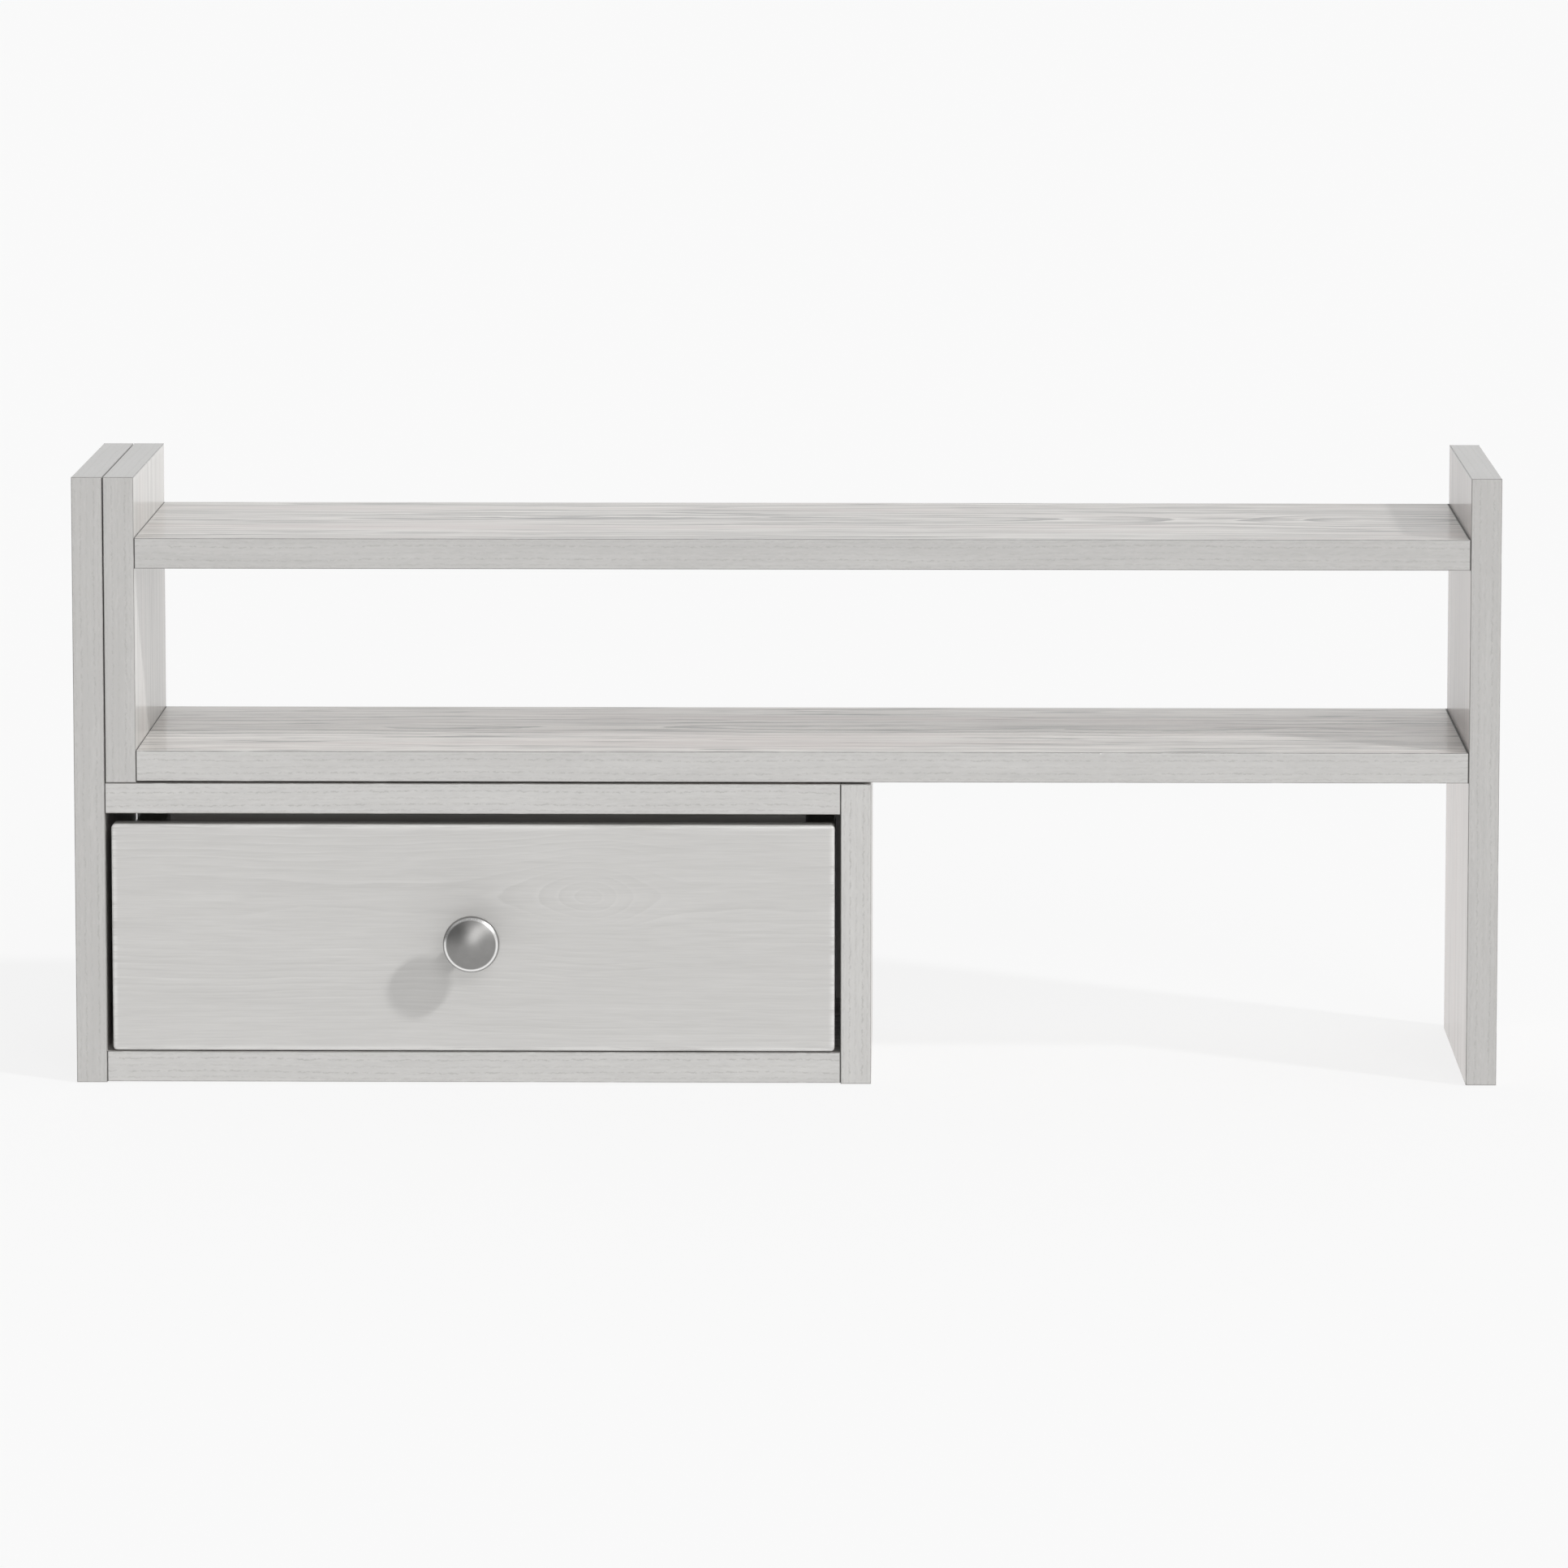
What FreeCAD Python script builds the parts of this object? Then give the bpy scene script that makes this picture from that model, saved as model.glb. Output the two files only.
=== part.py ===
import FreeCAD, Part
import os
import re

import Sketcher
from FreeCAD import Placement, Rotation, Vector

# Extendable desk organizer: a base unit with a drawer cabinet, a shelf unit that slides sideways
# out of it, and a drawer. Millimetres, +Z up, -Y is the front with the knob. The origin is on the
# desk, under the centre of the whole closed object's box.

sizes = {
    # the closed organizer and its boards
    "overall_width": 700,
    "overall_height": 300,
    "case_depth": 180,
    "board": 15,
    "cabinet_width": 392,       # outer face of the left panel to outer face of the cabinet
    "cabinet_height": 149,
    "bottom_lift": 0.5,         # desk to the underside of the cabinet's bottom board
    "nest_gap": 0.5,            # between the two panels that stand side by side on the left
    "glide_gap": 0.2,           # under whatever slides on a board
    "shelf_gap": 1.0,           # cabinet top to the lower shelf
    "lip_height": 30,           # panel tops above the upper shelf
    # edge bands
    "edging": 0.8,
    "arris": 0.5,               # rounding of an edge band's outer corners
    # the cabinet's back panel
    "back_board": 3,
    "back_inset": 1,            # its outer face from the back edges of the side panels
    "back_play": 0.5,           # around its edges
    # drawer
    "front_board": 12,
    "front_corner": 2,          # rounding of the drawer front's corners
    "front_arris": 1.2,         # rounding round the drawer front's outer face
    "drawer_board": 15,
    "drawer_side_gap": 3,
    "drawer_top_gap": 5.5,
    "drawer_bottom_gap": 0.5,
    "drawer_recess": 0.5,       # drawer front behind the case's front edges
    "drawer_stop_gap": 0.5,     # closed drawer to the back panel
    "drawer_inset": 0.8,        # drawer sides in from the ends of the drawer front
    "drawer_side_drop": 15.5,   # top edges of the sides below the top of the front
    "drawer_arris": 0.6,        # bevel of the drawer sides' and back's edges
    "bottom_sheet": 3,
    "groove_depth": 6,
    "groove_height": 9,         # lower edges of the drawer sides to the groove
    "groove_play": 0.2,
    # cam fittings and dowels
    "cam_diameter": 15,
    "cam_setback": 24,          # board end to the cam's axis
    "cam_cover": 5,             # cam bore beyond the bolt's axis
    "cam_sink": 0.2,            # cam's face below the board's face
    "cam_slot": 1.6,
    "cam_slot_length": 9,
    "cam_slot_depth": 2,
    "bolt_thread": 5,
    "bolt_bite": 9,
    "bolt_shank": 6.6,
    "bolt_neck": 4,
    "bolt_head": 3,             # length of the head in the cam
    "bolt_reach": 26.5,         # board end to the tip of the head
    "dowel_diameter": 8,
    "dowel_length": 30,
    "dowel_bite": 9,
    "dowel_bevel": 0.8,
    "fit": 0.1,                 # bore larger than what it holds, on the diameter
    "fitting_inset": 34,        # front or back edge of a board to the nearest cam
    "dowel_step": 32,           # cam to dowel
    "drawer_dowel_step": 24,
    # nails and screws
    "nail_diameter": 1.4,
    "nail_head": 3.6,
    "nail_head_height": 0.7,
    "nail_length": 18,
    "screw_head": 10,
    "screw_shank": 7,
    "screw_thread": 5,
    "screw_length": 45,
    "screw_key": 4,
    "screw_key_depth": 3,
    # knob and its screw
    "knob_diameter": 27.6,
    "knob_reach": 26,           # drawer front to the top of the dome
    "knob_foot": 13,
    "knob_foot_height": 2,
    "knob_neck": 10,
    "knob_rim_back": 18.6,      # drawer front to the back of the rim
    "knob_rim_front": 22.4,
    "knob_rim_bevel": 0.7,
    "knob_screw_diameter": 4,
    "knob_screw_bite": 9,
    "knob_screw_head": 8,
    "knob_screw_head_height": 2.6,
}

derived = {
    # faces of the case
    "left_face": "0 - overall_width / 2",
    "right_face": "overall_width / 2",
    "front_face": "(knob_reach - drawer_recess - case_depth) / 2",
    # base unit
    "cabinet_inside": "cabinet_width - 2 * board",
    "cabinet_left": "left_face + board",
    "cabinet_right": "left_face + cabinet_width - board",
    "cabinet_depth": "case_depth - back_inset - back_board",
    "cabinet_floor": "bottom_lift + board",
    "cabinet_ceiling": "cabinet_height - board",
    "cabinet_fitting_rear": "cabinet_depth - fitting_inset",
    # shelf unit
    "nest_left": "cabinet_left + nest_gap",
    "shelf_left": "nest_left + board",
    "shelf_right": "right_face - board",
    "shelf_length": "shelf_right - shelf_left",
    "nest_bottom": "cabinet_height + glide_gap",
    "lower_shelf_bottom": "cabinet_height + shelf_gap",
    "upper_shelf_bottom": "overall_height - lip_height - board",
    "shelf_fitting_rear": "case_depth - fitting_inset",
    # drawer
    "front_left": "cabinet_left + drawer_side_gap",
    "front_width": "cabinet_inside - 2 * drawer_side_gap",
    "front_bottom": "cabinet_floor + drawer_bottom_gap",
    "front_height": "cabinet_ceiling - drawer_top_gap - front_bottom",
    "front_back": "front_face + drawer_recess + front_board",
    "side_left": "front_left + drawer_inset",
    "side_right": "front_left + front_width - drawer_inset - drawer_board",
    "side_bottom": "cabinet_floor + glide_gap",
    "side_height": "front_bottom + front_height - drawer_side_drop - side_bottom",
    "side_length": "cabinet_depth - drawer_recess - front_board - drawer_stop_gap",
    "drawer_inside": "front_width - 2 * drawer_inset - 2 * drawer_board",
    "sheet_bottom": "side_bottom + groove_height + groove_play / 2",
    "sheet_top": "sheet_bottom + bottom_sheet",
    "drawer_back_bottom": "sheet_top + groove_play / 2",
    "drawer_back_height": "side_bottom + side_height - drawer_back_bottom",
    "drawer_back_face": "front_back + side_length - drawer_board",
    "groove_width": "bottom_sheet + groove_play",
    "sheet_width": "drawer_inside + 2 * (groove_depth - groove_play)",
    "sheet_left": "side_left + drawer_board - groove_depth + groove_play",
    "sheet_length": "groove_depth - groove_play + side_length",
    "drawer_cam_z": "side_bottom + side_height / 2 + groove_height / 2",
    "knob_x": "front_left + front_width / 2",
    "knob_z": "front_bottom + front_height / 2",
    "dome_rise": "knob_reach - knob_rim_front",
    "dome_edge": "knob_diameter / 2 - knob_rim_bevel",
    "dome_radius": "(dome_rise * dome_rise + dome_edge * dome_edge) / (2 * dome_rise)",
    # bores
    "cam_bore": "cam_diameter + fit",
    "cam_bore_depth": "board / 2 + cam_cover",
    "drawer_cam_bore_depth": "drawer_board / 2 + cam_cover",
    "shank_bore": "bolt_shank + 2 * fit",
    "thread_bore": "bolt_thread + fit",
    "thread_bore_depth": "bolt_bite + fit",
    "dowel_bore": "dowel_diameter + fit",
    "dowel_bore_depth": "dowel_bite + fit",
    "dowel_far_depth": "dowel_length - dowel_bite + fit",
    "nail_bore": "nail_diameter + fit",
}


doc = FreeCAD.newDocument("DeskOrganizer")
sheet = doc.addObject("Spreadsheet::Sheet", "Sizes")
for row, (alias, number) in enumerate(sizes.items(), start=1):
    sheet.set(f"A{row}", alias)
    sheet.set(f"B{row}", str(number))
    sheet.setAlias(f"B{row}", alias)
doc.recompute()


def formula(text):
    """The expression with the place of each size and each derived value written in."""
    def placed(match):
        word = match.group()
        return f"Sizes.{word}" if word in sizes else f"Derived.{word}"
    return re.sub(r"[a-z_]+", placed, text)


values = doc.addObject("App::VarSet", "Derived")
for name in derived:
    values.addProperty("App::PropertyFloat", name, "Derived")
for name, text in derived.items():
    values.setExpression(name, formula(text))
doc.recompute()

along_x = Rotation()
against_x = Rotation(Vector(0, 0, 1), 180)
along_y = Rotation(Vector(0, 0, 1), 90)
against_y = Rotation(Vector(0, 0, 1), -90)
along_z = Rotation(Vector(0, 1, 0), -90)

nodes = []      # the sub-parts, in the order in which they are made
pin_shares = (0.1, 0.5, 0.9)            # pins along the drawer back
screw_heights = ("drawer_back_bottom + drawer_back_height / 4",
                 "drawer_back_bottom + drawer_back_height * 3 / 4")


# ---------------------------------------------------------------- modelling helpers

def place(item, x, y, z):
    for axis, text in zip("xyz", (x, y, z)):
        item.setExpression(f"Placement.Base.{axis}", formula(text))


def attach(body, name, role, level="0"):
    """A sketch on the body's own origin plane, level mm up that plane's positive axis."""
    sketch = body.newObject("Sketcher::SketchObject", name)
    plane = next(item for item in body.Origin.OriginFeatures if item.Role == role)
    sketch.AttachmentSupport = [(plane, "")]
    sketch.MapMode = "FlatFace"
    if level != "0":
        sign = "0 - " if role == "XZ_Plane" else ""     # that plane faces -Y
        sketch.setExpression("AttachmentOffset.Base.z", formula(f"{sign}({level})"))
    return sketch


def constrain(sketch, kind, *where, text=None):
    if text is None:
        return sketch.addConstraint(Sketcher.Constraint(kind, *where))
    index = sketch.addConstraint(Sketcher.Constraint(kind, *where, 1.0))
    sketch.setExpression(f"Constraints[{index}]", formula(text))
    return index


def rectangle(sketch, wide, high, right="0", up="0"):
    """A rectangle whose lower left corner is right and up of the sketch's origin."""
    corners = [Vector(1, 1), Vector(2, 1), Vector(2, 2), Vector(1, 2)]
    first = sketch.GeometryCount
    for index, corner in enumerate(corners):
        sketch.addGeometry(Part.LineSegment(corner, corners[(index + 1) % 4]))
    for index in range(4):
        constrain(sketch, "Coincident", first + index, 2, first + (index + 1) % 4, 1)
        constrain(sketch, "Vertical" if index % 2 else "Horizontal", first + index)
    if right == "0":
        constrain(sketch, "PointOnObject", first, 1, -2)
    else:
        constrain(sketch, "DistanceX", -1, 1, first, 1, text=right)
    if up == "0":
        constrain(sketch, "PointOnObject", first, 1, -1)
    else:
        constrain(sketch, "DistanceY", -1, 1, first, 1, text=up)
    constrain(sketch, "DistanceX", first, 1, first, 2, text=wide)
    constrain(sketch, "DistanceY", first + 1, 1, first + 1, 2, text=high)


def circle(sketch, right, up, diameter):
    index = sketch.addGeometry(Part.Circle(Vector(1, 1, 0), Vector(0, 0, 1), 1))
    constrain(sketch, "Diameter", index, text=diameter)
    if right == "0":
        constrain(sketch, "PointOnObject", index, 3, -2)
    else:
        constrain(sketch, "DistanceX", -1, 1, index, 3, text=right)
    if up == "0":
        constrain(sketch, "PointOnObject", index, 3, -1)
    else:
        constrain(sketch, "DistanceY", -1, 1, index, 3, text=up)


def slab(label, role, wide, high, thick):
    """A board with its corner at its own origin and its thickness along the plane's positive axis."""
    body = doc.addObject("PartDesign::Body", label)
    outline = attach(body, f"{label}_outline", role)
    rectangle(outline, wide, high)
    pad = body.newObject("PartDesign::Pad", f"{label}_pad")
    pad.Profile = outline
    pad.Reversed = role == "XZ_Plane"
    pad.setExpression("Length", formula(thick))
    return body


def cut(body, name, sketch, role, depth, direction):
    """Pocket the sketch, depth mm along (1) or against (-1) the plane's positive axis."""
    doc.recompute()
    before = body.Shape.Volume
    pocket = body.newObject("PartDesign::Pocket", name)
    pocket.Profile = sketch
    pocket.Reversed = (direction > 0) != (role == "XZ_Plane")
    pocket.setExpression("Length", formula(depth))
    doc.recompute()
    if body.Shape.Volume > before - 0.5:
        raise RuntimeError(f"{name} cuts nothing")
    return pocket


def drill(body, name, role, level, direction, spots, diameter, depth):
    """Round bores, at (right, up) spots of the plane at that level."""
    sketch = attach(body, f"{body.Name}_{name}_sketch", role, level)
    for right, up in spots:
        circle(sketch, right, up, diameter)
    cut(body, f"{body.Name}_{name}", sketch, role, depth, direction)


def groove(body, name, role, level, direction, wide, high, right, up, depth):
    sketch = attach(body, f"{body.Name}_{name}_sketch", role, level)
    rectangle(sketch, wide, high, right, up)
    cut(body, f"{body.Name}_{name}", sketch, role, depth, direction)


def dress(body, kind, name, size, chosen):
    """A Fillet or Chamfer on the edges of the body's tip that chosen picks."""
    doc.recompute()
    tip = body.Tip
    picked = [f"Edge{index}" for index, edge in enumerate(tip.Shape.Edges, start=1) if chosen(edge)]
    feature = body.newObject(f"PartDesign::{kind}", f"{body.Name}_{name}")
    feature.Base = (tip, picked)
    feature.setExpression("Radius" if kind == "Fillet" else "Size", formula(size))


def lies_at(edge, **limits):
    """Whether the whole edge lies at the given x, y or z of its body."""
    box = edge.BoundBox
    low = {"x": box.XMin, "y": box.YMin, "z": box.ZMin}
    high = {"x": box.XMax, "y": box.YMax, "z": box.ZMax}
    return all(abs(low[axis] - at) < 1e-4 and abs(high[axis] - at) < 1e-4
               for axis, at in limits.items())


def runs_along(edge, axis):
    box = edge.BoundBox
    spans = {"x": box.XLength, "y": box.YLength, "z": box.ZLength}
    return all(span < 1e-4 for other, span in spans.items() if other != axis)


def node(item):
    nodes.append(item)
    return item


def group(label, master, places):
    """One node that holds a copy of the master at each (x, y, z, rotation)."""
    copies = []
    for index, (x, y, z, turn) in enumerate(places, start=1):
        copy = doc.addObject("App::Link", f"{label}_{index}")
        copy.LinkedObject = master
        copy.Placement = Placement(Vector(), turn)
        place(copy, x, y, z)
        copies.append(copy)
    return gather(label, copies)


def gather(label, pieces):
    compound = doc.addObject("Part::Compound", label)
    compound.Links = pieces
    return node(compound)


# ---------------------------------------------------------------- fasteners, each drawn once

def turned(label, outline):
    """A solid turned about its own X axis from (along, radius) points, axis to axis."""
    body = doc.addObject("PartDesign::Body", label)
    sketch = attach(body, f"{label}_outline", "XY_Plane")
    count = len(outline)
    for index in range(count):
        start = Vector(index, (index % (count - 1)) and 1)
        after = (index + 1) % count
        stop = Vector(after, (after % (count - 1)) and 1)
        sketch.addGeometry(Part.LineSegment(start, stop))
    for index, (along, radius) in enumerate(outline):
        constrain(sketch, "Coincident", index, 2, (index + 1) % count, 1)
        if radius == "0":
            constrain(sketch, "PointOnObject", index, 1, -1)
        else:
            constrain(sketch, "DistanceY", -1, 1, index, 1, text=radius)
        if along == "0":
            constrain(sketch, "PointOnObject", index, 1, -2)
        else:
            constrain(sketch, "DistanceX", -1, 1, index, 1, text=along)
    revolution = body.newObject("PartDesign::Revolution", f"{label}_turn")
    revolution.Profile = sketch
    revolution.ReferenceAxis = (sketch, ["H_Axis"])
    revolution.Angle = 360
    doc.recompute()
    return body


def cam_lock(label, thickness):
    """Face at its own z = 0, body upwards, mouth for the bolt towards -X, for that board."""
    body = doc.addObject("PartDesign::Body", label)
    face = attach(body, f"{label}_outline", "XY_Plane")
    circle(face, "0", "0", "cam_diameter")
    pad = body.newObject("PartDesign::Pad", f"{label}_pad")
    pad.Profile = face
    pad.setExpression("Length", formula(f"{thickness} / 2 + cam_cover - cam_sink - fit"))
    drill(body, "mouth", "YZ_Plane", "bolt_reach - cam_setback + fit", -1,
          [("0", f"{thickness} / 2 - cam_sink")], "bolt_shank + 2 * fit", "cam_diameter")
    for name, wide, high in (("across", "cam_slot_length", "cam_slot"),
                             ("along", "cam_slot", "cam_slot_length")):
        groove(body, name, "XY_Plane", "0", 1, wide, high, f"0 - {wide} / 2", f"0 - {high} / 2",
               "cam_slot_depth")
    return body


def cam_bolt():
    """The board's end is at x = 0: thread behind it, shank and head in front."""
    return turned("cam_bolt", [
        ("0 - bolt_bite", "0"),
        ("0 - bolt_bite", "bolt_thread / 2 - 1"),
        ("1 - bolt_bite", "bolt_thread / 2"),
        ("0", "bolt_thread / 2"),
        ("0", "bolt_shank / 2"),
        ("cam_setback - bolt_head", "bolt_shank / 2"),
        ("cam_setback - bolt_head", "bolt_neck / 2"),
        ("bolt_reach - bolt_head", "bolt_neck / 2"),
        ("bolt_reach - bolt_head", "bolt_shank / 2"),
        ("bolt_reach - 1", "bolt_shank / 2"),
        ("bolt_reach", "bolt_shank / 2 - 1"),
        ("bolt_reach", "0"),
    ])


def dowel():
    """The board's end is at x = 0, with the bite behind it."""
    return turned("dowel", [
        ("0 - dowel_bite", "0"),
        ("0 - dowel_bite", "dowel_diameter / 2 - dowel_bevel"),
        ("dowel_bevel - dowel_bite", "dowel_diameter / 2"),
        ("dowel_length - dowel_bite - dowel_bevel", "dowel_diameter / 2"),
        ("dowel_length - dowel_bite", "dowel_diameter / 2 - dowel_bevel"),
        ("dowel_length - dowel_bite", "0"),
    ])


def nail():
    """The face that the head lies on is at x = 0 and the point is at +X."""
    return turned("nail", [
        ("0 - nail_head_height", "0"),
        ("0 - nail_head_height", "nail_head / 2 - nail_head_height / 2"),
        ("0 - nail_head_height / 2", "nail_head / 2"),
        ("0", "nail_head / 2"),
        ("0", "nail_diameter / 2"),
        ("nail_length - nail_diameter", "nail_diameter / 2"),
        ("nail_length", "0"),
    ])


def board_screw():
    """A flat-headed board screw: the head's top is at x = 0 and the point is at +X."""
    body = turned("board_screw", [
        ("0", "0"),
        ("0", "screw_head / 2"),
        ("(screw_head - screw_shank) / 2", "screw_shank / 2"),
        ("drawer_board - fit", "screw_shank / 2"),
        ("drawer_board - fit", "screw_thread / 2"),
        ("screw_length - screw_thread / 2", "screw_thread / 2"),
        ("screw_length", "0"),
    ])
    key = attach(body, "board_screw_key_sketch", "YZ_Plane")
    rectangle(key, "screw_key", "screw_key", "0 - screw_key / 2", "0 - screw_key / 2")
    cut(body, "board_screw_key", key, "YZ_Plane", "screw_key_depth", 1)
    return body


cam_lock_master = cam_lock("cam_lock", "board")
drawer_cam_lock_master = cam_lock("drawer_cam_lock", "drawer_board")
cam_bolt_master = cam_bolt()
dowel_master = dowel()
nail_master = nail()
board_screw_master = board_screw()


# ---------------------------------------------------------------- board joints

def joint_rows(rear_fitting, offset="0"):
    """Distances of the cams and of the dowels from a board's own front edge."""
    cams = [f"fitting_inset - {offset}", f"{rear_fitting} - {offset}"]
    dowels = [f"fitting_inset + dowel_step - {offset}", f"{rear_fitting} - dowel_step - {offset}"]
    return cams, dowels


def bore_board_ends(board, length, rear_fitting):
    """Cam, bolt and dowel bores at both ends of a level board whose cams are on its underside."""
    cams, dowels = joint_rows(rear_fitting, "edging")
    ends = (("left", "0", "cam_setback", 1), ("right", length, f"{length} - cam_setback", -1))
    for name, level, cam_at, direction in ends:
        drill(board, f"cams_{name}", "XY_Plane", "0", 1,
              [(cam_at, row) for row in cams], "cam_bore", "cam_bore_depth")
        drill(board, f"bolts_{name}", "YZ_Plane", level, direction,
              [(row, "board / 2") for row in cams], "shank_bore", "cam_setback")
        drill(board, f"dowels_{name}", "YZ_Plane", level, direction,
              [(row, "board / 2") for row in dowels], "dowel_bore", "dowel_far_depth")


def bore_side_panel(panel, name, level, direction, rear_fitting, height):
    """Bolt and dowel bores in a side panel's inner face, for a board centred at that height."""
    cams, dowels = joint_rows(rear_fitting, "edging")
    drill(panel, f"{name}_bolts", "YZ_Plane", level, direction,
          [(row, height) for row in cams], "thread_bore", "thread_bore_depth")
    drill(panel, f"{name}_dowels", "YZ_Plane", level, direction,
          [(row, height) for row in dowels], "dowel_bore", "dowel_bore_depth")


def fit_board(name, left, right, rear_fitting, bottom):
    """The cams, bolts and dowels at both ends of a level board."""
    cams, dowels = joint_rows(rear_fitting)
    middle = f"{bottom} + board / 2"
    ends = ((left, f"{left} + cam_setback", along_x), (right, f"{right} - cam_setback", against_x))
    group(f"{name}_cam_locks", cam_lock_master,
          [(cam_at, f"front_face + {row}", f"{bottom} + cam_sink", turn)
           for _, cam_at, turn in ends for row in cams])
    group(f"{name}_cam_bolts", cam_bolt_master,
          [(end, f"front_face + {row}", middle, turn) for end, _, turn in ends for row in cams])
    group(f"{name}_dowels", dowel_master,
          [(end, f"front_face + {row}", middle, turn) for end, _, turn in ends for row in dowels])


# ---------------------------------------------------------------- edge bands

def rounding():
    return "arris" if sizes["arris"] <= 0.75 * sizes["edging"] else "0.75 * edging"


def front_strip(label, wide, high, x, z):
    strip = slab(label, "XZ_Plane", wide, high, "edging")
    dress(strip, "Fillet", "arris", rounding(), lambda edge: lies_at(edge, y=0))
    place(strip, x, "front_face", z)
    return strip


def back_strip(label, wide, high, x, z):
    strip = slab(label, "XZ_Plane", wide, high, "edging")
    dress(strip, "Fillet", "arris", rounding(),
          lambda edge: lies_at(edge, y=sizes["edging"]))
    place(strip, x, "front_face + case_depth - edging", z)
    return strip


def top_strip(label, x, z):
    strip = slab(label, "XY_Plane", "board", "case_depth - 2 * edging", "edging")
    dress(strip, "Fillet", "arris", rounding(),
          lambda edge: lies_at(edge, z=sizes["edging"]) and runs_along(edge, "y"))
    place(strip, x, "front_face + edging", f"{z} - edging")
    return strip


def edge_panel(name, x, bottom, top):
    """Front, back and top bands of an upright panel; they cover its whole height."""
    high = f"{top} - ({bottom})"
    gather(f"{name}_edging", [
        front_strip(f"{name}_front_band", "board", high, x, bottom),
        back_strip(f"{name}_back_band", "board", high, x, bottom),
        top_strip(f"{name}_top_band", x, top),
    ])


# ---------------------------------------------------------------- base unit

def base_side_tall():
    panel = node(slab("base_side_tall", "YZ_Plane", "case_depth - 2 * edging",
                      "overall_height - edging", "board"))
    bore_side_panel(panel, "floor", "board", -1, "cabinet_fitting_rear", "bottom_lift + board / 2")
    bore_side_panel(panel, "top", "board", -1, "cabinet_fitting_rear", "cabinet_height - board / 2")
    place(panel, "left_face", "front_face + edging", "0")
    edge_panel("base_side_tall", "left_face", "0", "overall_height")


def base_side_short():
    panel = node(slab("base_side_short", "YZ_Plane", "case_depth - 2 * edging",
                      "cabinet_height - edging", "board"))
    bore_side_panel(panel, "floor", "0", 1, "cabinet_fitting_rear", "bottom_lift + board / 2")
    bore_side_panel(panel, "top", "0", 1, "cabinet_fitting_rear", "cabinet_height - board / 2")
    place(panel, "cabinet_right", "front_face + edging", "0")
    edge_panel("base_side_short", "cabinet_right", "0", "cabinet_height")


def nail_spots():
    """Distances of the back panel's nails from the left end of the cabinet boards."""
    return [f"cabinet_inside * {share}" for share in (0.1, 0.3, 0.5, 0.7, 0.9)]


def cabinet_board(name, bottom):
    board = node(slab(name, "XY_Plane", "cabinet_inside", "cabinet_depth - edging", "board"))
    bore_board_ends(board, "cabinet_inside", "cabinet_fitting_rear")
    drill(board, "nail_holes", "XZ_Plane", "cabinet_depth - edging", -1,
          [(spot, "board / 2") for spot in nail_spots()], "nail_bore",
          "nail_length - back_board + fit")
    place(board, "cabinet_left", "front_face + edging", bottom)
    gather(f"{name}_edging", [
        front_strip(f"{name}_front_band", "cabinet_inside", "board", "cabinet_left", bottom)])
    fit_board(name, "cabinet_left", "cabinet_right", "cabinet_fitting_rear", bottom)


def base_back_panel():
    panel = node(slab("base_back_panel", "XZ_Plane", "cabinet_inside - 2 * back_play",
                      "cabinet_height - bottom_lift - 2 * back_play", "back_board"))
    heights = ("board / 2 - back_play", "cabinet_height - bottom_lift - back_play - board / 2")
    drill(panel, "nail_holes", "XZ_Plane", "0", 1,
          [(f"{spot} - back_play", height) for spot in nail_spots() for height in heights],
          "nail_bore", "back_board")
    place(panel, "cabinet_left + back_play", "front_face + cabinet_depth",
          "bottom_lift + back_play")
    group("base_back_nails", nail_master,
          [(f"cabinet_left + {spot}", "front_face + cabinet_depth + back_board", height, against_y)
           for spot in nail_spots()
           for height in ("bottom_lift + board / 2", "cabinet_height - board / 2")])


base_side_tall()
base_side_short()
cabinet_board("base_top_board", "cabinet_ceiling")
cabinet_board("base_bottom_board", "bottom_lift")
base_back_panel()


# ---------------------------------------------------------------- shelf unit

def shelf_side_short():
    panel = node(slab("shelf_side_short", "YZ_Plane", "case_depth - 2 * edging",
                      "overall_height - edging - nest_bottom", "board"))
    bore_side_panel(panel, "lower", "board", -1, "shelf_fitting_rear",
                    "lower_shelf_bottom + board / 2 - nest_bottom")
    bore_side_panel(panel, "upper", "board", -1, "shelf_fitting_rear",
                    "upper_shelf_bottom + board / 2 - nest_bottom")
    place(panel, "nest_left", "front_face + edging", "nest_bottom")
    edge_panel("shelf_side_short", "nest_left", "nest_bottom", "overall_height")


def shelf_side_tall():
    panel = node(slab("shelf_side_tall", "YZ_Plane", "case_depth - 2 * edging",
                      "overall_height - edging", "board"))
    bore_side_panel(panel, "lower", "0", 1, "shelf_fitting_rear", "lower_shelf_bottom + board / 2")
    bore_side_panel(panel, "upper", "0", 1, "shelf_fitting_rear", "upper_shelf_bottom + board / 2")
    place(panel, "shelf_right", "front_face + edging", "0")
    edge_panel("shelf_side_tall", "shelf_right", "0", "overall_height")


def shelf(name, bottom):
    board = node(slab(name, "XY_Plane", "shelf_length", "case_depth - 2 * edging", "board"))
    bore_board_ends(board, "shelf_length", "shelf_fitting_rear")
    place(board, "shelf_left", "front_face + edging", bottom)
    gather(f"{name}_edging", [
        front_strip(f"{name}_front_band", "shelf_length", "board", "shelf_left", bottom),
        back_strip(f"{name}_back_band", "shelf_length", "board", "shelf_left", bottom)])
    fit_board(name, "shelf_left", "shelf_right", "shelf_fitting_rear", bottom)


shelf_side_short()
shelf_side_tall()
shelf("upper_shelf", "upper_shelf_bottom")
shelf("lower_shelf", "lower_shelf_bottom")


# ---------------------------------------------------------------- drawer

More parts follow.
